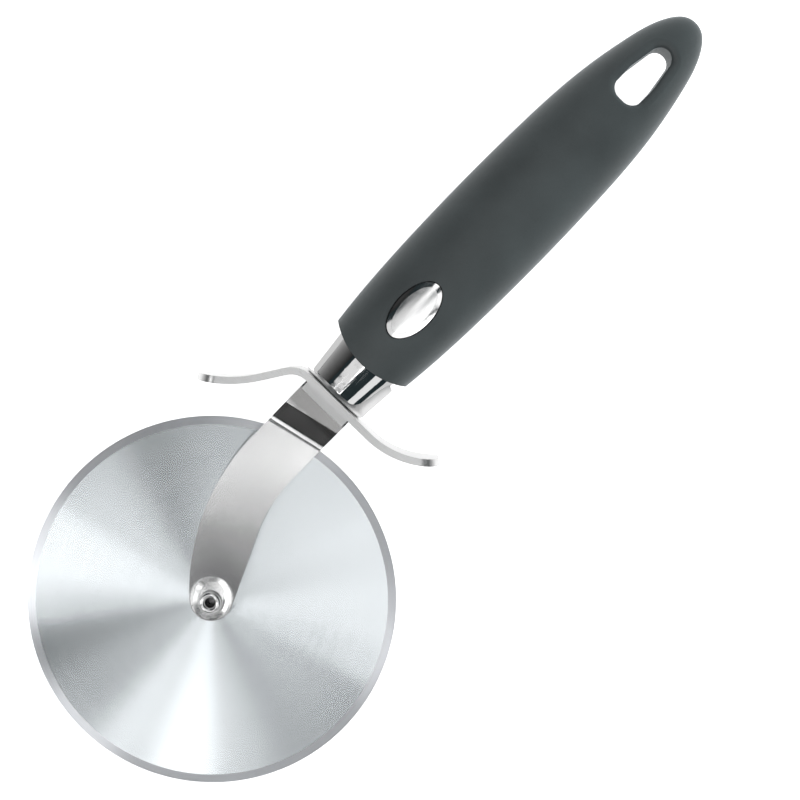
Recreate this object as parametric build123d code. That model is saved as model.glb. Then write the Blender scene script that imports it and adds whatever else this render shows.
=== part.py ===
from build123d import *
from math import cos, radians, sin, sqrt, tan
import os

# A hand-held pizza cutter wheel. All lengths are in millimetres and all angles in degrees.
# The pieces are built with the origin on the wheel's axle, in the middle of the blade's thickness.
# +X runs along the handle towards its tip, and +Z is the axle's direction.
# At the end every piece moves to the table frame: the part lies flat, the table is at Z = 0, and
# the origin is under the middle of the part.

# Blade
blade_radius = 50.8
blade_thickness = 1.0
bevel_width = 2.3
blade_edge_thickness = 0.24

# Fits
running_gap = 0.05
fixed_gap = 0.04
blade_side_play = 0.2

# Axle
rivet_radius = 2.5
rivet_bore_radius = 1.35
rivet_bore_depth = 6.0
rolled_end_radius = 3.05
rolled_end_height = 2.0
rolled_end_foot = 0.5
rivet_head_radius = 3.3
rivet_head_height = 1.2
rivet_head_rim = 0.35
sleeve_wall = 1.0
washer_radius = 4.9

# Fork sheet and arms
sheet_thickness = 1.5
arm_face_height = 4.4
arm_foot_height = 7.2
arm_bow_angle = 8.0
arm_bow_fill_share = 0.85
arm_end_x = 0.75
arm_end_y = 0.4
arm_end_radius = 5.95
arm_low_angle = 25.0
arm_low_radius = 45.0
arm_high_radius = 61.0
dish_radius = 4.85
dish_floor_radius = 3.3
dish_depth = 0.55
dish_length = 2.4
dish_angle = 30.0
dish_boss_extra = 0.15

# Fork bends and bridge
fork_width = 15.9
fork_drop = 0.45
facet_length = 6.1
step_angle = 33.0
step_skew_angle = 12.5
step_low_radius = 6.0
step_high_radius = 0.4
bridge_corner_radius = 2.2
bridge_flat_length = 4.0
weld_length = 14.9

# Finger guard
rim_to_guard = 11.2
guard_thickness = 2.0
guard_half_width = 11.0
guard_corner_radius = 5.0
guard_straight_low = 15.0
guard_straight_high = 7.6
high_wing_inner_radius = 5.6
high_wing_angle = 57.0
high_wing_straight = 7.0
high_wing_return_radius = 38.0
high_wing_return_angle = 27.0
low_wing_radius = 26.0
low_wing_angle = 48.0

# Handle
handle_offset = 16.0
grip_start_gap = 11.5
grip_length = 129.5
grip_half_width = 15.25
grip_station_shares = [
    (0.000, 0.819),
    (0.175, 0.954),
    (0.310, 0.992),
    (0.421, 1.000),
    (0.587, 0.974),
    (0.762, 0.866),
    (0.876, 0.689),
    (0.951, 0.488),
    (0.985, 0.297),
]
grip_start_slope = 0.14
grip_skin = 2.2
front_arc_radius = 23.8
seam_gap = 0.05
hole_lining = 1.5
hole_rim_radius = 1.6

# Hanging hole, a rounded triangle: distances back from the handle's tip
hole_tip_circle_back = 14.8
hole_tip_circle_radius = 3.2
hole_middle_circle_back = 22.0
hole_middle_circle_radius = 4.35
hole_corner_circle_back = 26.6
hole_corner_circle_radius = 3.7
hole_corner_spread = 0.65

# Ferrule
ferrule_low_half_width = 10.38
ferrule_slope = 0.143
ferrule_wall = 1.2
ferrule_foot_radius = 1.8

# Tang bolt, its washer and insert
bolt_radius = 3.0
bolt_hole_gap = 0.2
bolt_head_height = 4.0
bolt_head_radius = 5.5
bolt_head_chamfer = 0.5
bolt_tip_chamfer = 0.6
bolt_end_gap = 2.0
lock_washer_radius = 5.2
lock_washer_thickness = 1.5
lock_washer_slot = 1.0
lock_washer_slot_angle = 20.0
insert_start_gap = 20.0
insert_length = 14.0
insert_radius = 4.6
insert_groove_depth = 0.5
insert_groove_width = 2.0

# Badge
badge_from_start = 20.3
badge_half_length = 9.6
badge_half_width = 5.4
badge_gap = 0.35
badge_ring_width = 1.3
badge_proud = 0.25
badge_plate_step = 0.2
adhesive_thickness = 0.4

# Overrun past a face, for every cut
overrun = 1.0

# Places worked out from the sizes above
dish_floor = arm_face_height - dish_depth
sleeve_half_length = dish_floor - sheet_thickness
sleeve_radius = rivet_radius + fixed_gap + sleeve_wall
wheel_bore_radius = sleeve_radius + running_gap
guard_x = blade_radius + rim_to_guard
ferrule_x = guard_x + guard_thickness
fork_axis = handle_offset - fork_drop
fork_low = fork_axis - fork_width / 2
fork_high = fork_axis + fork_width / 2
fork_half_height = guard_half_width
split_x = guard_x - bridge_flat_length
grip_start = ferrule_x + grip_start_gap
tip_x = grip_start + grip_length
front_half_width = grip_station_shares[0][1] * grip_half_width
front_arc_sag = front_arc_radius - sqrt(front_arc_radius**2 - front_half_width**2)
neck_end_x = grip_start + front_arc_sag
flatness = guard_half_width / grip_half_width
hole_tip_x = tip_x - hole_tip_circle_back
hole_middle_x = tip_x - hole_middle_circle_back
hole_corner_x = tip_x - hole_corner_circle_back
insert_x = ferrule_x + insert_start_gap
badge_x = grip_start + badge_from_start
bolt_seat_x = guard_x - sheet_thickness
bolt_head_x = bolt_seat_x - lock_washer_thickness
bolt_end_x = insert_x + insert_length - bolt_end_gap
reach = 2 * blade_radius


def turned(points):
    """A full turn about the axle of the closed outline through (radius, height) points."""
    return revolve(Plane.XZ * make_face(Polyline(*points, close=True)), Axis.Z, 360)


def round_bar(radius, start_x, end_x):
    """A bar along X, centred on the handle's axis."""
    end_face = Plane(origin=(start_x, handle_offset, 0), z_dir=(1, 0, 0)) * Circle(radius)
    return extrude(end_face, end_x - start_x)


def both_sides(front):
    """The front feature and its mirror image behind the blade."""
    return front + mirror(front, Plane.XY)


# Wheel and axle


def blade():
    half = blade_thickness / 2
    half_edge = blade_edge_thickness / 2
    return turned([
        (wheel_bore_radius, -half),
        (blade_radius - bevel_width, -half),
        (blade_radius, -half_edge),
        (blade_radius, half_edge),
        (blade_radius - bevel_width, half),
        (wheel_bore_radius, half),
    ])


def washer():
    """The front washer, lying on the blade."""
    bottom = blade_thickness / 2
    top = sleeve_half_length - blade_side_play
    return turned([
        (wheel_bore_radius, bottom),
        (washer_radius, bottom),
        (washer_radius, top),
        (wheel_bore_radius, top),
    ])


def axle_sleeve():
    bore = rivet_radius + fixed_gap
    return turned([
        (bore, -sleeve_half_length),
        (sleeve_radius, -sleeve_half_length),
        (sleeve_radius, sleeve_half_length),
        (bore, sleeve_half_length),
    ])


def axle_rivet():
    """A semi-tubular rivet: domed head behind, end rolled over in front."""
    head_seat = -dish_floor
    head_top = head_seat - rivet_head_height
    head_edge = head_seat - rivet_head_rim
    head_dome = ((rivet_head_radius + rivet_radius) / 2, (head_top + head_edge) / 2 - rivet_head_rim)
    crest = dish_floor + rolled_end_height
    foot = dish_floor + rolled_end_foot
    crest_radius = (rolled_end_radius + rivet_bore_radius) / 2
    bore_end = crest - rivet_bore_depth
    outline = [
        Line((0, head_top), (rivet_radius / 2, head_top)),
        ThreePointArc((rivet_radius / 2, head_top), head_dome, (rivet_head_radius, head_edge)),
        Line((rivet_head_radius, head_edge), (rivet_head_radius, head_seat)),
        Line((rivet_head_radius, head_seat), (rivet_radius, head_seat)),
        Line((rivet_radius, head_seat), (rivet_radius, dish_floor)),
        Line((rivet_radius, dish_floor), (rolled_end_radius, dish_floor)),
        Line((rolled_end_radius, dish_floor), (rolled_end_radius, foot)),
        ThreePointArc((rolled_end_radius, foot), (crest_radius, crest), (rivet_bore_radius, foot)),
        Line((rivet_bore_radius, foot), (rivet_bore_radius, bore_end)),
        Line((rivet_bore_radius, bore_end), (0, bore_end - rivet_bore_radius)),
        Line((0, bore_end - rivet_bore_radius), (0, head_top)),
    ]
    return revolve(Plane.XZ * make_face(outline), Axis.Z, 360)


# Fork


def fork_plan():
    """The fork's outline from the front: straight at the bridge, then curving to the axle."""
    end = Vector(arm_end_x, arm_end_y)
    slope = radians(arm_low_angle)
    low_touch = end + Vector(sin(slope), -cos(slope)) * arm_end_radius
    low_run = (fork_low - low_touch.Y) / sin(slope)
    low_corner = low_touch + Vector(cos(slope), sin(slope)) * low_run
    high_centre_y = fork_high - arm_high_radius
    centre_gap = arm_high_radius - arm_end_radius
    high_centre_x = arm_end_x + sqrt(centre_gap**2 - (arm_end_y - high_centre_y) ** 2)
    high_centre = Vector(high_centre_x, high_centre_y)
    high_touch = end + (end - high_centre).normalized() * arm_end_radius
    high_start = Vector(high_centre.X, fork_high)
    high_chord = (high_touch + high_start) / 2
    high_middle = high_centre + (high_chord - high_centre).normalized() * arm_high_radius
    far_end = end + (low_touch + high_touch - end * 2).normalized() * arm_end_radius
    low_edge = FilletPolyline((guard_x, fork_low), low_corner, low_touch, radius=arm_low_radius)
    outline = low_edge.edges() + [
        ThreePointArc(low_touch, far_end, high_touch),
        ThreePointArc(high_touch, high_middle, high_start),
        Line(high_start, (guard_x, fork_high)),
        Line((guard_x, fork_high), (guard_x, fork_low)),
    ]
    return make_face(outline)


def fork_bridge():
    """The U-shaped top of the fork, from its flat facets to the bridge on the guard."""
    half_length = bridge_flat_length / 2
    middle = (guard_x - half_length, 0)
    outer = Pos(*middle) * Rectangle(bridge_flat_length, 2 * fork_half_height)
    outer = fillet(outer.vertices().group_by(Axis.X)[-1], bridge_corner_radius)
    inner_height = 2 * (fork_half_height - sheet_thickness)
    inner = Pos(middle[0] - sheet_thickness, 0) * Rectangle(bridge_flat_length, inner_height)
    inner_radius = max(bridge_corner_radius - sheet_thickness, fixed_gap)
    inner = fillet(inner.vertices().group_by(Axis.X)[-1], inner_radius)
    return extrude(Plane.XZ * (outer - inner), reach, both=True)


def arm_strip():
    """The front arm's sheet, seen along its skewed bend lines and longer than the arm's outline."""
    skew = radians(step_skew_angle)
    across = (cos(skew), sin(skew), 0)
    side = Plane(origin=(0, handle_offset, 0), x_dir=across, z_dir=(sin(skew), -cos(skew), 0))
    step_top = (guard_x - facet_length) * cos(skew)
    step_foot = step_top - (fork_half_height - arm_foot_height) / tan(radians(step_angle))
    bow_start = step_foot - (arm_foot_height - arm_face_height) / tan(radians(arm_bow_angle))
    bow_radius = arm_bow_fill_share * (step_foot - bow_start) / tan(radians(arm_bow_angle / 2))
    start = -2 * (handle_offset * sin(skew) + arm_end_radius)
    face_line = FilletPolyline(
        (start, arm_face_height),
        (bow_start, arm_face_height),
        (step_foot, arm_foot_height),
        (step_top, fork_half_height),
        (guard_x + bridge_flat_length, fork_half_height),
        radius=[bow_radius, step_low_radius, step_high_radius],
    )
    strip = make_face(offset(face_line, sheet_thickness, side=Side.RIGHT))
    arm = extrude(side * strip, reach, both=True)
    return arm & Pos(split_x - reach, 0, 0) * Box(2 * reach, 4 * reach, 4 * reach)


def dish_slot(radius, height):
    """The dish's outline: round about the axle and drawn out along the arm."""
    slot = SlotCenterToCenter(dish_length, 2 * radius)
    return Pos(0, 0, height) * Rot(0, 0, dish_angle) * Pos(dish_length / 2, 0) * slot


def dish(rim_height, extra):
    """The dish's hollow or its boss: a shallow slope from the rim down to the flat floor."""
    rim = dish_slot(dish_radius + extra, rim_height)
    floor = dish_slot(dish_floor_radius + extra, rim_height - dish_depth)
    return loft([rim, floor], ruled=True)


def fork():
    plan = extrude(fork_plan(), reach, both=True)
    arms = both_sides(arm_strip() + dish(arm_face_height - sheet_thickness, dish_boss_extra))
    body = (arms + fork_bridge()) & plan
    body -= both_sides(dish(arm_face_height, 0))
    body -= Cylinder(rivet_radius + fixed_gap, 2 * reach)
    return body - round_bar(bolt_radius + bolt_hole_gap, split_x, guard_x + overrun)


def fork_welds():
    """Filler in the grooves between the bridge's rounded corners and the guard."""
    radius = bridge_corner_radius
    block = Pos(guard_x - radius / 2, fork_half_height - radius / 2) * Rectangle(radius, radius)
    bend = Pos(guard_x - radius, fork_half_height - radius) * Circle(radius)
    section = Plane(origin=(0, fork_axis, 0), x_dir=(1, 0, 0), z_dir=(0, -1, 0)) * (block - bend)
    return both_sides(extrude(section, weld_length / 2, both=True))


# Finger guard


def finger_guard():
    """An S-shaped strip: the high wing bends towards the wheel, the low wing towards the hand."""
    low_start = Vector(guard_x, handle_offset - guard_straight_low)
    high_start = Vector(guard_x, handle_offset + guard_straight_high)
    low_wing = JernArc(low_start, (0, -1), low_wing_radius, low_wing_angle)
    middle = Line(low_start, high_start)
    bend = JernArc(high_start, (0, 1), high_wing_inner_radius, high_wing_angle)
    run = Line(bend @ 1, bend @ 1 + (bend % 1) * high_wing_straight)
    high_wing = JernArc(run @ 1, run % 1, high_wing_return_radius, -high_wing_return_angle)
    wheel_face = Wire(low_wing.edges() + middle.edges() + bend.edges() + run.edges() + high_wing.edges())
    section = make_face(offset(wheel_face, guard_thickness, side=Side.LEFT))
    strip = extrude(section, guard_half_width, both=True)
    tips = strip.faces().sort_by(Axis.Y)
    tip_edges = tips[0].edges() + tips[-1].edges()
    corners = [edge for edge in tip_edges if abs((edge % 0).Z) < abs((edge % 0).X)]
    strip = fillet(corners, guard_corner_radius)
    return strip - round_bar(bolt_radius + bolt_hole_gap, guard_x - overrun, ferrule_x + overrun)


# Handle. Its pieces are made round about X, with their cuts upright, and flattened to an oval last.


def flattened(body):
    """Flattens a round handle piece to the handle's oval and moves it to the handle's axis."""
    return Pos(0, handle_offset, 0) * scale(body, by=(1, 1, flatness))


def round_body(edges):
    return revolve(make_face(edges), Axis.X, 360)


def handle_body(inset):
    """The handle's outer shape, made smaller all round by the inset."""
    length = grip_length - inset
    stations = [
        (grip_start + along * length, out * grip_half_width - inset) for along, out in grip_station_shares
    ]
    tip = (grip_start + length, 0)
    curve = Spline(*stations, tip, tangents=[(1, grip_start_slope), (0, -1)])
    return round_body([curve, Line(tip, (grip_start, 0)), Line((grip_start, 0), stations[0])])


def ferrule_body(inset):
    """The ferrule's tapered shape, longer than the ferrule, made smaller all round by the inset."""
    start = ferrule_x + inset
    end = grip_start + grip_start_gap
    low = ferrule_low_half_width - inset
    high = low + (end - start) * ferrule_slope
    foot = ferrule_foot_radius - min(inset, ferrule_foot_radius / 2)
    curve = FilletPolyline((start, 0), (start, low), (end, high), radius=foot)
    return round_body(curve.edges() + [Line((end, high), (end, 0)), Line((end, 0), (start, 0))])


def behind_front_arc(shift):
    """Everything on the tip's side of the grip's arc-shaped front edge."""
    centre_x = grip_start + shift + front_arc_radius
    disc = Pos(centre_x, 0, 0) * Cylinder(front_arc_radius, reach)
    rest = Pos(centre_x + 2 * reach, 0, 0) * Box(4 * reach, 4 * reach, reach)
    return disc + rest


def hole_prism(extra):
    """The hanging hole, larger all round by the extra: a rounded triangle that narrows to the tip."""
    spread = hole_corner_spread
    circles = [
        Pos(hole_tip_x, 0) * Circle(hole_tip_circle_radius + extra),
        Pos(hole_middle_x, 0) * Circle(hole_middle_circle_radius + extra),
        Pos(hole_corner_x, spread) * Circle(hole_corner_circle_radius + extra),
        Pos(hole_corner_x, -spread) * Circle(hole_corner_circle_radius + extra),
    ]
    outline = make_hull([edge for circle in circles for edge in circle.edges()])
    return extrude(outline, reach, both=True)


def core_shape(gap):
    """The core, smaller all round by the gap: a neck in the ferrule, then the body under the skin."""
    neck = ferrule_body(ferrule_wall + gap) & Pos(neck_end_x - reach / 2, 0, 0) * Box(reach, reach, reach)
    body = handle_body(grip_skin + gap)
    return neck + body - hole_prism(hole_lining + gap)


def handle_core():
    core = flattened(core_shape(fixed_gap))
    core -= round_bar(bolt_radius + bolt_hole_gap, ferrule_x, bolt_end_x + bolt_end_gap)
    insert_end = insert_x + insert_length
    return core - round_bar(insert_radius + fixed_gap, insert_x - fixed_gap, insert_end + fixed_gap)


def ferrule():
    shell = ferrule_body(0) - ferrule_body(ferrule_wall) - behind_front_arc(-seam_gap)
    return flattened(shell) - round_bar(bolt_radius + bolt_hole_gap, ferrule_x - overrun, grip_start)


def badge_oval(inset):
    """An upright prism of the badge's oval, smaller by the inset, above the handle's axis."""
    oval = Ellipse(badge_half_length - inset, badge_half_width - inset)
    return extrude(Pos(badge_x, 0) * oval, reach)


def badge_layer(top, bottom):
    """The handle's shape between two insets."""
    return handle_body(top) - handle_body(bottom)


def grip_shell():
    outer = (handle_body(0) & behind_front_arc(0)) - hole_prism(0)
    hole_start = hole_corner_x - 2 * hole_corner_circle_radius
    hole_end = hole_tip_x + 2 * hole_tip_circle_radius
    rims = [edge for edge in outer.edges().filter_by_position(Axis.X, hole_start, hole_end)
            if abs(edge.center().Z) > grip_half_width / 4]
    outer = fillet(rims, hole_rim_radius)
    return flattened(outer - core_shape(0) - badge_oval(0))


def badge_bezel():
    ring = badge_oval(badge_gap) - badge_oval(badge_gap + badge_ring_width)
    return flattened(ring & badge_layer(-badge_proud, grip_skin - adhesive_thickness))


def badge_plate():
    plate = badge_oval(badge_gap + badge_ring_width + fixed_gap)
    return flattened(plate & badge_layer(-badge_proud + badge_plate_step, grip_skin - adhesive_thickness))


def badge_adhesive():
    return flattened(badge_oval(badge_gap) & badge_layer(grip_skin - adhesive_thickness, grip_skin))


# Fasteners


def tang_bolt():
    head_plane = Plane(origin=(bolt_head_x, handle_offset, 0), z_dir=(-1, 0, 0))
    head = extrude(head_plane * RegularPolygon(bolt_head_radius, 6), bolt_head_height)
    head = chamfer(head.faces().sort_by(Axis.X)[0].edges(), bolt_head_chamfer)
    shank = round_bar(bolt_radius, bolt_head_x, bolt_end_x)
    shank = chamfer(shank.faces().sort_by(Axis.X)[-1].edges(), bolt_tip_chamfer)
    return head + shank


def lock_washer():
    ring = round_bar(lock_washer_radius, bolt_head_x, bolt_seat_x)
    ring -= round_bar(bolt_radius + bolt_hole_gap, bolt_head_x - overrun, bolt_seat_x + overrun)
    upward = (Align.CENTER, Align.CENTER, Align.MIN)
    slot = Box(4 * lock_washer_thickness, lock_washer_slot, 2 * lock_washer_radius, align=upward)
    middle = (bolt_head_x + bolt_seat_x) / 2
    return ring - Pos(middle, handle_offset, 0) * Rot(0, 0, lock_washer_slot_angle) * slot


def threaded_insert():
    body = round_bar(insert_radius, insert_x, insert_x + insert_length)
    groove_start = insert_x + (insert_length - insert_groove_width) / 2
    groove_end = groove_start + insert_groove_width
    groove = round_bar(insert_radius + overrun, groove_start, groove_end)
    groove -= round_bar(insert_radius - insert_groove_depth, groove_start, groove_end)
    bore_end = insert_x + insert_length + overrun
    return body - groove - round_bar(bolt_radius + fixed_gap, insert_x - overrun, bore_end)


pieces = {
    "blade": blade(),
    "front_washer": washer(),
    "back_washer": mirror(washer(), Plane.XY),
    "axle_sleeve": axle_sleeve(),
    "axle_rivet": axle_rivet(),
    "fork": fork(),
    "fork_welds": fork_welds(),
    "finger_guard": finger_guard(),
    "ferrule": ferrule(),
    "handle_core": handle_core(),
    "grip_shell": grip_shell(),
    "badge_bezel": badge_bezel(),
    "badge_plate": badge_plate(),
    "badge_adhesive": badge_adhesive(),
    "tang_bolt": tang_bolt(),
    "lock_washer": lock_washer(),
    "threaded_insert": threaded_insert(),
}

# Table frame: under the middle of the part's length, with its underside on the table
to_table = Pos((blade_radius - tip_x) / 2, 0, guard_half_width)

os.makedirs("parts", exist_ok=True)
for name, piece in pieces.items():
    export_step(to_table * piece, f"parts/{name}.step")
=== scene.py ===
import math

import bpy
from mathutils import Matrix, Vector

# The looks of a hand-held pizza cutter wheel that lies on a white table. All lengths are in metres.

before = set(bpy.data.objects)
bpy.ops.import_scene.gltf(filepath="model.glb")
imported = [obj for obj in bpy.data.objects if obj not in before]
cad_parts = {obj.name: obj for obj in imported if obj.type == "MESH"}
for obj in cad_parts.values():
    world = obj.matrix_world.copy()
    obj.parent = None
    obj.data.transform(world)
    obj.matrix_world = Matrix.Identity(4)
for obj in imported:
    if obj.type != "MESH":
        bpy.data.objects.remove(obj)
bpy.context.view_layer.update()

MM = 0.001

# The places on the part that its materials follow, in the part's own frame
AXLE = Vector((-77.1, 0, 11)) * MM
BLADE_RADIUS = 50.8 * MM
BEVEL_WIDTH = 2.3 * MM
RIVET_BORE_RADIUS = 1.37 * MM
DISH_MIDDLE = AXLE + Vector((1.0, 0.6, 0)) * MM
DISH_RADIUS = 5.6 * MM
DISH_EDGE_RADIUS = 6.2 * MM
SWELL_HEIGHT = 0.35 * MM
# Painted shade on the fork's arm: full within the first distance of the dish's middle, gone at the second
ARM_PAINTED_SHADE_START = 0.15 * BLADE_RADIUS
ARM_PAINTED_SHADE_END = 0.46 * BLADE_RADIUS
# A band of painted shade across the fork by the weld, in place of the dark that the step there reflects:
# where it rises, where it falls, and how far its edges wander
WELD_SHADE_START = (-21.5 * MM, -20.0 * MM)
WELD_SHADE_END = (-16.5 * MM, -14.5 * MM)
WELD_SHADE_WANDER = 2 * MM

# A noise's values mostly lie between these two, so tones and roughnesses are spread over them
TONE_LOW = 0.3
TONE_HIGH = 0.7
HAZE_LOW = 0.35

# Brushed metal spreads its highlights across the grain: a quarter turn from the tangent
QUARTER_TURN = 0.25

# The room
ROOM_LEVEL = 0.7
ROOM_SEEN_LEVEL = 1.0
FLOOR_SIZE = 6
FLOOR_HEIGHT = -0.02 * MM
FLOOR_COLOUR = (0.8, 0.8, 0.8, 1)
FLOOR_GLOW = 0.9

# The ceiling of cards, over the axle: the panels, the bands over them, and the dark card over both.
# The point that the axle mirrors to the camera counts from the axle, across and up in the camera's view.
CEILING_HEIGHT = 0.6
BAND_HEIGHT = 0.61
DARK_HEIGHT = 0.62
DARK_HALF_WIDTH = 1.3
DARK_COLOUR = (0.6, 0.9, 1.0)
DARK_LEVEL = 0.03
DIM_LEVEL = 0.1
WHITE = (1, 1, 1)
PANEL_STEP = 10
MIRROR_POINT = Vector((-0.0631, -0.0931))

# Name, middle direction and width in degrees, inner and outer radius about the mirror point, brightness
PANELS = [
    ("right_near", 20, 60, 0.05, 0.10, 3.3),
    ("left_near", 150, 48, 0.05, 0.10, 5.0),
    ("left_low", 180, 20, 0.10, 0.17, 0.4),
    ("low_near", 260, 60, 0.05, 0.10, 5.1),
    ("low", 260, 20, 0.10, 0.17, 4.0),
    ("low_side", 240, 20, 0.10, 0.17, 0.6),
    ("low_right_near", 310, 40, 0.05, 0.10, 2.1),
    ("right_edge", 340, 20, 0.17, 0.42, 2.5),
    ("right_far", 10, 40, 0.10, 0.27, 1.3),
    ("right_high", 40, 20, 0.10, 0.17, 1.6),
    ("up", 60, 20, 0.17, 0.42, 1.4),
    ("left_far", 170, 40, 0.27, 0.42, 5.5),
    ("far_left", 180, 20, 0.42, 0.8, 2.8),
    ("far_up", 80, 20, 0.42, 0.8, 1.0),
    ("far_low_right", 300, 60, 0.42, 0.8, 0.9),
]

# Name, reach along and across the handle from the axle, brightness at the near and at the far long edge
BANDS = [
    ("ferrule_band", (-0.094, -0.066), (-0.080, 0.200), 0.85, 0.85),
    ("ferrule_shade", (-0.30, 0.10), (0.28, 1.60), 0.02, 0.5),
    ("badge_band", (-0.015, 0.060), (-0.130, 0.190), 0.85, 0.85),
    ("dish_band", (-0.80, -0.42), (-0.12, 0.12), 3.5, 3.5),
    ("step_shade", (-3.50, -0.95), (-0.90, 0.90), 0.03, 0.03),
]

# The soft lamp: its place along, across and over the part from the axle, its size and its power in watts
LAMP_PLACE = (0.95, 0.35, 0.4)
LAMP_SIZE = 0.6
LAMP_POWER = 8.0

# Camera: it looks down on the part, turned so that the handle points up to the right
FOCAL_PIXELS = 1800
IMAGE_PIXELS = 800
SENSOR = 36.0
HANDLE_TURN = math.radians(45.6)
TABLE_SLOPE = 0.044
AXLE_PIXEL = (212.0, 599.8)
AXLE_DISTANCE = 495.9 * MM
NEAREST_SEEN = 0.01
FARTHEST_SEEN = 20

# The part's axes in the camera's own axes: x to the right, y up, z towards the viewer
up_axis = Vector((0, -TABLE_SLOPE, 1)).normalized()
long_axis = Vector((math.cos(HANDLE_TURN), math.sin(HANDLE_TURN), 0))
long_axis = (long_axis - up_axis * long_axis.dot(up_axis)).normalized()
cross_axis = up_axis.cross(long_axis)
to_part = Matrix((long_axis, cross_axis, up_axis))
half_image = IMAGE_PIXELS / 2
axle_in_camera = Vector((
    (AXLE_PIXEL[0] - half_image) / FOCAL_PIXELS,
    (half_image - AXLE_PIXEL[1]) / FOCAL_PIXELS,
    -1,
)) * AXLE_DISTANCE


def part_point(camera_point):
    """A point of the camera's frame, in the part's frame."""
    return AXLE + to_part @ (Vector(camera_point) - axle_in_camera)


# Node materials


class Shader:
    """A node material with a few short calls for the nodes it is made of."""

    def __init__(self, name, **values):
        self.material = bpy.data.materials.new(name)
        self.material.use_nodes = True
        self.tree = self.material.node_tree
        self.surface = self.tree.nodes["Principled BSDF"]
        self.place = self.node("ShaderNodeTexCoord").outputs["Object"]
        for socket, value in values.items():
            self.surface.inputs[socket.replace("_", " ")].default_value = value

    def node(self, kind, links=None, **settings):
        made = self.tree.nodes.new(kind)
        for key, value in settings.items():
            setattr(made, key, value)
        for socket, source in (links or {}).items():
            self.join(source, made.inputs[socket])
        return made

    def join(self, source, socket):
        if isinstance(source, bpy.types.NodeSocket):
            self.tree.links.new(source, socket)
        else:
            socket.default_value = source

    def math(self, operation, first, second=0.0, third=0.0):
        links = {0: first, 1: second, 2: third}
        return self.node("ShaderNodeMath", links, operation=operation).outputs[0]

    def parts(self, vector):
        return self.node("ShaderNodeSeparateXYZ", {0: vector}).outputs

    def vector(self, x, y, z):
        return self.node("ShaderNodeCombineXYZ", {0: x, 1: y, 2: z}).outputs[0]

    def stretched(self, vector, scale):
        """The vector with each part times its share of the scale."""
        node = self.node("ShaderNodeVectorMath", {0: vector, 1: scale}, operation="MULTIPLY")
        return node.outputs[0]

    def noise(self, vector, scale, detail=3.0, roughness=0.5):
        links = {"Vector": vector, "Scale": scale, "Detail": detail, "Roughness": roughness}
        return self.node("ShaderNodeTexNoise", links).outputs["Fac"]

    def between(self, value, from_low, from_high, to_low, to_high):
        links = {0: value, 1: from_low, 2: from_high, 3: to_low, 4: to_high}
        return self.node("ShaderNodeMapRange", links).outputs[0]

    def toned(self, value, dark, light):
        """A colour from dark to light as the noise rises."""
        ramp = self.node("ShaderNodeValToRGB", {0: value})
        stops = ((TONE_LOW, dark), (TONE_HIGH, light))
        for element, (position, colour) in zip(ramp.color_ramp.elements, stops):
            element.position = position
            element.color = (*colour, 1)
        return ramp.outputs[0]

    def ranged(self, value, least, most, low=TONE_LOW):
        """A number from least to most as the noise rises."""
        return self.between(value, low, TONE_HIGH, least, most)

    def summed(self, first, first_share, second, second_share):
        """The two values, each times its share, added up."""
        first_part = self.math("MULTIPLY", first, first_share)
        second_part = self.math("MULTIPLY", second, second_share)
        return self.math("ADD", first_part, second_part)

    def mixed(self, share, first, second):
        """The first colour where the share is 0, the second where it is 1."""
        node = self.node("ShaderNodeMix", data_type="RGBA")
        self.join(share, node.inputs[0])
        self.join(first, node.inputs[6])
        self.join(second, node.inputs[7])
        return node.outputs[2]

    def bump(self, height, depth, strength=1.0):
        links = {"Strength": strength, "Distance": depth, "Height": height}
        node = self.node("ShaderNodeBump", links)
        self.join(node.outputs[0], self.surface.inputs["Normal"])

    def feed(self, **sockets):
        for socket, source in sockets.items():
            self.join(source, self.surface.inputs[socket.replace("_", " ")])

    def about(self, middle):
        """Distance from an upright line through the middle, and the angle round it."""
        offset = self.node("ShaderNodeVectorMath", {0: self.place, 1: middle}, operation="SUBTRACT")
        x, y, z = self.parts(offset.outputs[0])
        flat = self.vector(x, y, 0.0)
        radius = self.node("ShaderNodeVectorMath", {0: flat}, operation="LENGTH").outputs["Value"]
        return radius, self.math("ARCTAN2", y, x)


def grey(level, blue=0.0):
    """A grey with a little blue in it."""
    return (level - blue / 2, level, level + blue)


def blade_material():
    """Steel brushed in circles, with a ground bevel."""
    ring_scale = 5200
    ring_stretch = 0.0006
    ring_share = 0.6
    broad_scale = 700
    broad_stretch = 0.002
    broad_share = 0.4
    bevel_roughness = 0.17
    groove_depth = 0.0003 * MM
    shader = Shader("blade_steel", Metallic=1.0, Anisotropic=1.0, Anisotropic_Rotation=QUARTER_TURN)
    radius, angle = shader.about(AXLE)
    ring_place = shader.vector(radius, shader.math("MULTIPLY", angle, ring_stretch), 0.0)
    broad_place = shader.vector(radius, shader.math("MULTIPLY", angle, broad_stretch), 0.0)
    rings = shader.noise(ring_place, ring_scale, 4)
    broad = shader.noise(broad_place, broad_scale, 2)
    lines = shader.summed(rings, ring_share, broad, broad_share)
    face = shader.toned(lines, (0.665, 0.70, 0.72), (0.725, 0.76, 0.78))
    bevel = shader.toned(lines, grey(0.73, 0.03), grey(0.81, 0.03))
    on_bevel = shader.math("GREATER_THAN", radius, BLADE_RADIUS - BEVEL_WIDTH)
    rougher = shader.math("MULTIPLY", on_bevel, bevel_roughness)
    roughness = shader.math("ADD", shader.ranged(lines, 0.19, 0.205), rougher)
    shader.feed(Base_Color=shader.mixed(on_bevel, face, bevel), Roughness=roughness)
    shader.bump(lines, groove_depth)
    tangent = shader.node("ShaderNodeTangent", direction_type="RADIAL", axis="Z")
    shader.feed(Tangent=tangent.outputs[0])
    return shader.material


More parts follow.
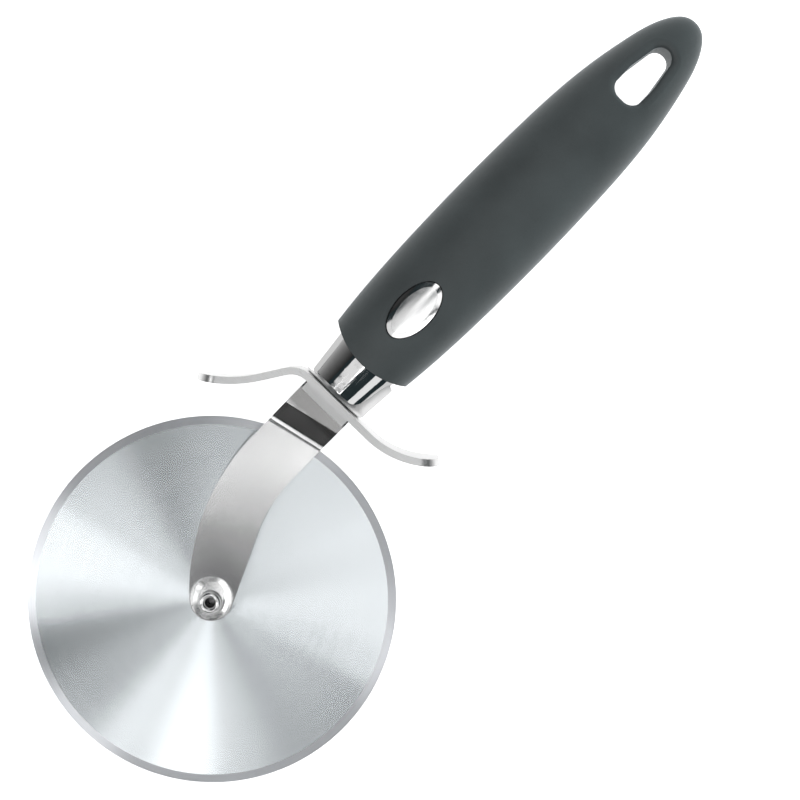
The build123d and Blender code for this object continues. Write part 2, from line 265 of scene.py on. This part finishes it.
def worked_steel(shader, colour, roughness, lines, clouds, depth):
    """The fork's painted light: painted shade in a band by the weld and towards the pivot end, and a
    painted highlight on the pressed dish.
    """
    weld_shade_share = 0.55
    weld_shade_left = 0.3
    pivot_shade_share = 0.68
    dish_roughness = 0.05
    spread = shader.about(DISH_MIDDLE)[0]
    pressed = shader.between(spread, DISH_RADIUS, DISH_EDGE_RADIUS, 1.0, 0.0)
    roughness = shader.math("ADD", roughness, shader.math("MULTIPLY", pressed, dish_roughness))
    # Painted shade: a darker band across the fork by the weld, standing in for the dark reflection on the
    # step there.
    along = shader.math("MULTIPLY_ADD", clouds, WELD_SHADE_WANDER, shader.parts(shader.place)[0])
    weld_shade_rise = shader.between(along, *WELD_SHADE_START, 0.0, weld_shade_share)
    weld_shade_fall = shader.between(along, *WELD_SHADE_END, 1.0, weld_shade_left)
    weld_shaded = shader.math("MULTIPLY", weld_shade_rise, weld_shade_fall)
    colour = shader.mixed(weld_shaded, colour, (0.16, 0.155, 0.15, 1))
    # Painted shade: the arm's colour darkens towards the pivot end, in place of the darker reflection it
    # shows there.
    pivot_painted_shade = shader.between(spread, ARM_PAINTED_SHADE_START, ARM_PAINTED_SHADE_END, pivot_shade_share, 0.0)
    colour = shader.mixed(pivot_painted_shade, colour, (0.10, 0.10, 0.105, 1))
    # Painted highlight: the pressed dish is lightened to a pale grey, standing in for the light it
    # catches.
    colour = shader.mixed(pressed, colour, (*grey(0.78), 1))
    outward = shader.math("MINIMUM", shader.math("DIVIDE", spread, DISH_RADIUS), 1.0)
    outward_squared = shader.math("MULTIPLY", outward, outward)
    swell = shader.math("MULTIPLY", outward_squared, -SWELL_HEIGHT / depth)
    return colour, roughness, shader.math("ADD", lines, swell)


def brushed_material(name, level, roughness, along, depth=0.002 * MM, worked=False):
    """Steel brushed in straight lines along the given axis of the part."""
    fine_scale = 9000.0
    long_scale = 180.0
    cloud_scale = 160
    line_share = 0.7
    cloud_share = 0.3
    tone_spread = 0.05
    roughness_spread = 0.04
    shader = Shader(name, Metallic=1.0, Anisotropic=0.9, Anisotropic_Rotation=QUARTER_TURN)
    scale = [long_scale if axis == along else fine_scale for axis in "XYZ"]
    lines = shader.noise(shader.stretched(shader.place, scale), 1.0, 4, 0.6)
    clouds = shader.noise(shader.place, cloud_scale, 2)
    tone = shader.summed(lines, line_share, clouds, cloud_share)
    dullness = shader.ranged(tone, roughness - roughness_spread, roughness + roughness_spread)
    colour = shader.toned(tone, grey(level - tone_spread), grey(level + tone_spread))
    if worked:
        colour, dullness, lines = worked_steel(shader, colour, dullness, lines, clouds, depth)
    shader.feed(Base_Color=colour, Roughness=dullness)
    shader.bump(lines, depth)
    direction = [1.0 if axis == along else 0.0 for axis in "XYZ"]
    shader.feed(Tangent=shader.vector(*direction))
    return shader.material


def polished_material(name, level, roughness):
    """Bright polished metal with faint haze and hairline wear."""
    haze_scale = 260
    hair_scale = (600.0, 6000.0, 6000.0)
    hair_depth = 0.0006 * MM
    tone_spread = 0.02
    roughness_spread = 0.03
    shader = Shader(name, Metallic=1.0)
    haze = shader.noise(shader.place, haze_scale, 3)
    hairs = shader.noise(shader.stretched(shader.place, hair_scale), 1.0, 2)
    colour = shader.toned(haze, grey(level - tone_spread), grey(level))
    dullness = shader.ranged(haze, roughness, roughness + roughness_spread, low=HAZE_LOW)
    shader.feed(Base_Color=colour, Roughness=dullness)
    shader.bump(hairs, hair_depth)
    return shader.material


def rivet_material():
    """Bright formed steel, with painted shade down in its hollow end, which is also rougher."""
    haze_scale = 900
    bore_roughness = 0.3
    shader = Shader("formed_steel", Metallic=1.0)
    haze = shader.noise(shader.place, haze_scale, 3)
    bright = shader.toned(haze, grey(0.66), grey(0.74))
    hollow = shader.math("LESS_THAN", shader.about(AXLE)[0], RIVET_BORE_RADIUS)
    raised = shader.math("GREATER_THAN", shader.parts(shader.place)[2], AXLE.z)
    inside = shader.math("MULTIPLY", hollow, raised)
    hazy = shader.ranged(haze, 0.18, 0.24, low=HAZE_LOW)
    dullness = shader.math("ADD", hazy, shader.math("MULTIPLY", inside, bore_roughness))
    # Painted shade: the steel down inside the bore is near black, standing in for the shade that falls in
    # it.
    shader.feed(Base_Color=shader.mixed(inside, bright, (*grey(0.05), 1)), Roughness=dullness)
    shader.bump(haze, 0.002 * MM)
    return shader.material


def grip_material():
    """Soft-touch charcoal rubber with a fine matte grain."""
    grain_scale = 3600
    grain_share = 0.35
    grain_depth = 0.02 * MM
    cloud_scale = 70
    cloud_share = 0.65
    shader = Shader("grip_rubber", Specular_IOR_Level=0.45, Sheen_Weight=0.45, Sheen_Roughness=0.35)
    shader.feed(Sheen_Tint=(0.85, 0.95, 1.0, 1))
    grain = shader.noise(shader.place, grain_scale, 4, 0.6)
    clouds = shader.noise(shader.place, cloud_scale, 2)
    tone = shader.summed(grain, grain_share, clouds, cloud_share)
    colour = shader.toned(tone, (0.037, 0.046, 0.048), (0.053, 0.066, 0.069))
    shader.feed(Base_Color=colour, Roughness=shader.ranged(tone, 0.46, 0.56))
    shader.bump(grain, grain_depth, 0.6)
    return shader.material


def plastic_material(name, colour, roughness):
    """Plain plastic, nylon or foam with a fine grain."""
    grain_scale = 2500
    grain_depth = 0.01 * MM
    pivot_shade_share = 0.85
    roughness_spread = 0.05
    shader = Shader(name)
    grain = shader.noise(shader.place, grain_scale, 3)
    darker = tuple(pivot_shade_share * part for part in colour)
    dullness = shader.ranged(grain, roughness - roughness_spread, roughness + roughness_spread)
    shader.feed(Base_Color=shader.toned(grain, darker, colour), Roughness=dullness)
    shader.bump(grain, grain_depth, 0.5)
    return shader.material


def brass_material():
    """Turned brass, with fine lines round the insert."""
    turned_scale = (9000.0, 300.0, 300.0)
    shader = Shader("insert_brass", Metallic=1.0, Roughness=0.3)
    turned = shader.noise(shader.stretched(shader.place, turned_scale), 1.0, 3)
    shader.feed(Base_Color=shader.toned(turned, (0.62, 0.44, 0.17), (0.75, 0.56, 0.25)))
    shader.bump(turned, 0.002 * MM)
    return shader.material


NYLON_COLOUR = (0.72, 0.71, 0.66)
materials = {
    "blade": blade_material(),
    "fork": brushed_material("fork_steel", 0.54, 0.2, "X", worked=True),
    "fork_welds": brushed_material("ground_weld", 0.68, 0.42, "Y"),
    "finger_guard": brushed_material("guard_steel", 0.66, 0.3, "Y", 0.001 * MM),
    "axle_rivet": rivet_material(),
    "axle_sleeve": brushed_material("sleeve_steel", 0.6, 0.3, "Z"),
    "tang_bolt": polished_material("bolt_steel", 0.55, 0.3),
    "lock_washer": polished_material("spring_steel", 0.45, 0.35),
    "ferrule": polished_material("ferrule_chrome", 0.84, 0.04),
    "badge_bezel": polished_material("badge_chrome", 0.84, 0.08),
    "badge_plate": polished_material("plate_chrome", 0.90, 0.16),
    "grip_shell": grip_material(),
    "handle_core": plastic_material("core_plastic", (0.03, 0.03, 0.032), 0.5),
    "front_washer": plastic_material("washer_nylon", NYLON_COLOUR, 0.4),
    "back_washer": plastic_material("back_washer_nylon", NYLON_COLOUR, 0.4),
    "threaded_insert": brass_material(),
    "badge_adhesive": plastic_material("adhesive_foam", (0.05, 0.05, 0.05), 0.8),
}
for node, material in materials.items():
    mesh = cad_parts[node].data
    mesh.materials.clear()
    mesh.materials.append(material)
    mesh.polygons.foreach_set("material_index", [0] * len(mesh.polygons))

# Floor: white, with the part's soft shadow


def floor_paint():
    """Plain white that glows to the eye and to gloss, so that only the shadow darkens it."""
    paint = bpy.data.materials.new("floor_white")
    paint.use_nodes = True
    paint.cycles.emission_sampling = "NONE"
    nodes = paint.node_tree.nodes
    join = paint.node_tree.links.new
    nodes.clear()
    diffuse = nodes.new("ShaderNodeBsdfDiffuse")
    diffuse.inputs[0].default_value = FLOOR_COLOUR
    paths = nodes.new("ShaderNodeLightPath")
    share = paths.outputs["Is Camera Ray"]
    for ray in ("Is Glossy Ray", "Is Transmission Ray"):
        either = nodes.new("ShaderNodeMath")
        either.operation = "MAXIMUM"
        join(share, either.inputs[0])
        join(paths.outputs[ray], either.inputs[1])
        share = either.outputs[0]
    level = nodes.new("ShaderNodeMath")
    level.operation = "MULTIPLY"
    level.inputs[1].default_value = FLOOR_GLOW
    join(share, level.inputs[0])
    glow = nodes.new("ShaderNodeEmission")
    join(level.outputs[0], glow.inputs["Strength"])
    both = nodes.new("ShaderNodeAddShader")
    join(diffuse.outputs[0], both.inputs[0])
    join(glow.outputs[0], both.inputs[1])
    output = nodes.new("ShaderNodeOutputMaterial")
    join(both.outputs[0], output.inputs["Surface"])
    return paint


bpy.ops.mesh.primitive_plane_add(size=FLOOR_SIZE, location=(0, 0, FLOOR_HEIGHT))
floor = bpy.context.object
floor.name = "floor"
floor.data.materials.append(floor_paint())

# Studio: a pale room, a soft lamp, and a ceiling of cards that steel and chrome reflect

world = bpy.data.worlds.new("room")
world.use_nodes = True
background = world.node_tree.nodes["Background"]
background.inputs["Color"].default_value = (*WHITE, 1)
room_paths = world.node_tree.nodes.new("ShaderNodeLightPath")
room_level = world.node_tree.nodes.new("ShaderNodeMapRange")
room_level.inputs["To Min"].default_value = ROOM_LEVEL
room_level.inputs["To Max"].default_value = ROOM_SEEN_LEVEL
world.node_tree.links.new(room_paths.outputs["Is Camera Ray"], room_level.inputs["Value"])
world.node_tree.links.new(room_level.outputs[0], background.inputs["Strength"])
bpy.context.scene.world = world

# The ceiling's axes in the camera's own axes: across and up in its view, and away from the table
sideways = Vector((1, 0, 0))
sideways = (sideways - up_axis * sideways.dot(up_axis)).normalized()
to_ceiling = Matrix((sideways, up_axis.cross(sideways), up_axis)).transposed()


def ceiling_card(name, outline, height, colour, brightness):
    """A flat card over the wheel that only steel and other gloss sees. Its corners count from the axle."""
    corners = [AXLE + to_part @ (to_ceiling @ Vector((*point, height))) for point in outline]
    mesh = bpy.data.meshes.new(name)
    mesh.from_pydata(corners, [], [list(range(len(corners)))])
    card = bpy.data.objects.new(name, mesh)
    bpy.context.scene.collection.objects.link(card)
    paint = bpy.data.materials.new(name)
    paint.use_nodes = True
    surface = paint.node_tree.nodes["Principled BSDF"]
    surface.inputs["Base Color"].default_value = (0, 0, 0, 1)
    surface.inputs["Specular IOR Level"].default_value = 0
    surface.inputs["Emission Color"].default_value = (*colour, 1)
    surface.inputs["Emission Strength"].default_value = brightness
    if brightness < DIM_LEVEL:
        paint.cycles.emission_sampling = "NONE"
    mesh.materials.append(paint)
    card.visible_camera = False
    card.visible_diffuse = False
    card.visible_shadow = False
    return card


def light_panel(name, middle, width, inner, outer, brightness):
    """A bright wedge of the ceiling, about the point that the axle mirrors to the camera."""
    steps = width // PANEL_STEP
    outline = []
    for radius, order in ((inner, range(steps + 1)), (outer, range(steps, -1, -1))):
        for step in order:
            angle = math.radians(middle + width * (step / steps - 0.5))
            outline.append(MIRROR_POINT + radius * Vector((math.cos(angle), math.sin(angle))))
    ceiling_card(name, outline, CEILING_HEIGHT, WHITE, brightness)


def light_band(name, along, across, near_level, far_level):
    """A straight strip of the ceiling, given along and across the handle, that brightens across it."""
    turn = Matrix.Rotation(HANDLE_TURN, 2)
    near_edge = [Vector((end, across[0])) for end in along]
    far_edge = [Vector((end, across[1])) for end in reversed(along)]
    outline = [turn @ corner for corner in near_edge + far_edge]
    card = ceiling_card(name, outline, BAND_HEIGHT, WHITE, near_level)
    if far_level != near_level:
        tree = card.data.materials[0].node_tree
        place = tree.nodes.new("ShaderNodeTexCoord")
        parts = tree.nodes.new("ShaderNodeSeparateXYZ")
        ramp = tree.nodes.new("ShaderNodeMapRange")
        for index, value in enumerate((*across, near_level, far_level)):
            ramp.inputs[index + 1].default_value = value
        tree.links.new(place.outputs["Object"], parts.inputs[0])
        tree.links.new(parts.outputs["Y"], ramp.inputs[0])
        surface = tree.nodes["Principled BSDF"]
        tree.links.new(ramp.outputs[0], surface.inputs["Emission Strength"])


def softbox(name, place, size, power):
    """A soft lamp for the matte surfaces, aimed at the part's middle."""
    lamp = bpy.data.lights.new(name, "AREA")
    lamp.size = size
    lamp.energy = power
    thing = bpy.data.objects.new(name, lamp)
    bpy.context.scene.collection.objects.link(thing)
    thing.location = AXLE + to_part @ Vector(place)
    thing.rotation_mode = "QUATERNION"
    thing.rotation_quaternion = thing.location.to_track_quat("Z", "Y")
    thing.visible_glossy = False


corner_signs = ((-1, -1), (1, -1), (1, 1), (-1, 1))
dark_outline = [Vector(signs) * DARK_HALF_WIDTH for signs in corner_signs]
ceiling_card("dark_ceiling", dark_outline, DARK_HEIGHT, DARK_COLOUR, DARK_LEVEL)
for name, middle, width, inner, outer, brightness in PANELS:
    light_panel(name + "_panel", middle, width, inner, outer, brightness)
for name, along, across, near_level, far_level in BANDS:
    light_band(name, along, across, near_level, far_level)
softbox("soft_key", LAMP_PLACE, LAMP_SIZE, LAMP_POWER)

# Camera

camera = bpy.data.cameras.new("camera")
camera.sensor_width = SENSOR
camera.lens = FOCAL_PIXELS / IMAGE_PIXELS * SENSOR
camera.clip_start = NEAREST_SEEN
camera.clip_end = FARTHEST_SEEN
camera_object = bpy.data.objects.new("camera", camera)
bpy.context.scene.collection.objects.link(camera_object)
camera_object.matrix_world = Matrix.Translation(part_point((0, 0, 0))) @ to_part.to_4x4()
bpy.context.scene.camera = camera_object
bpy.context.scene.view_settings.view_transform = "Standard"
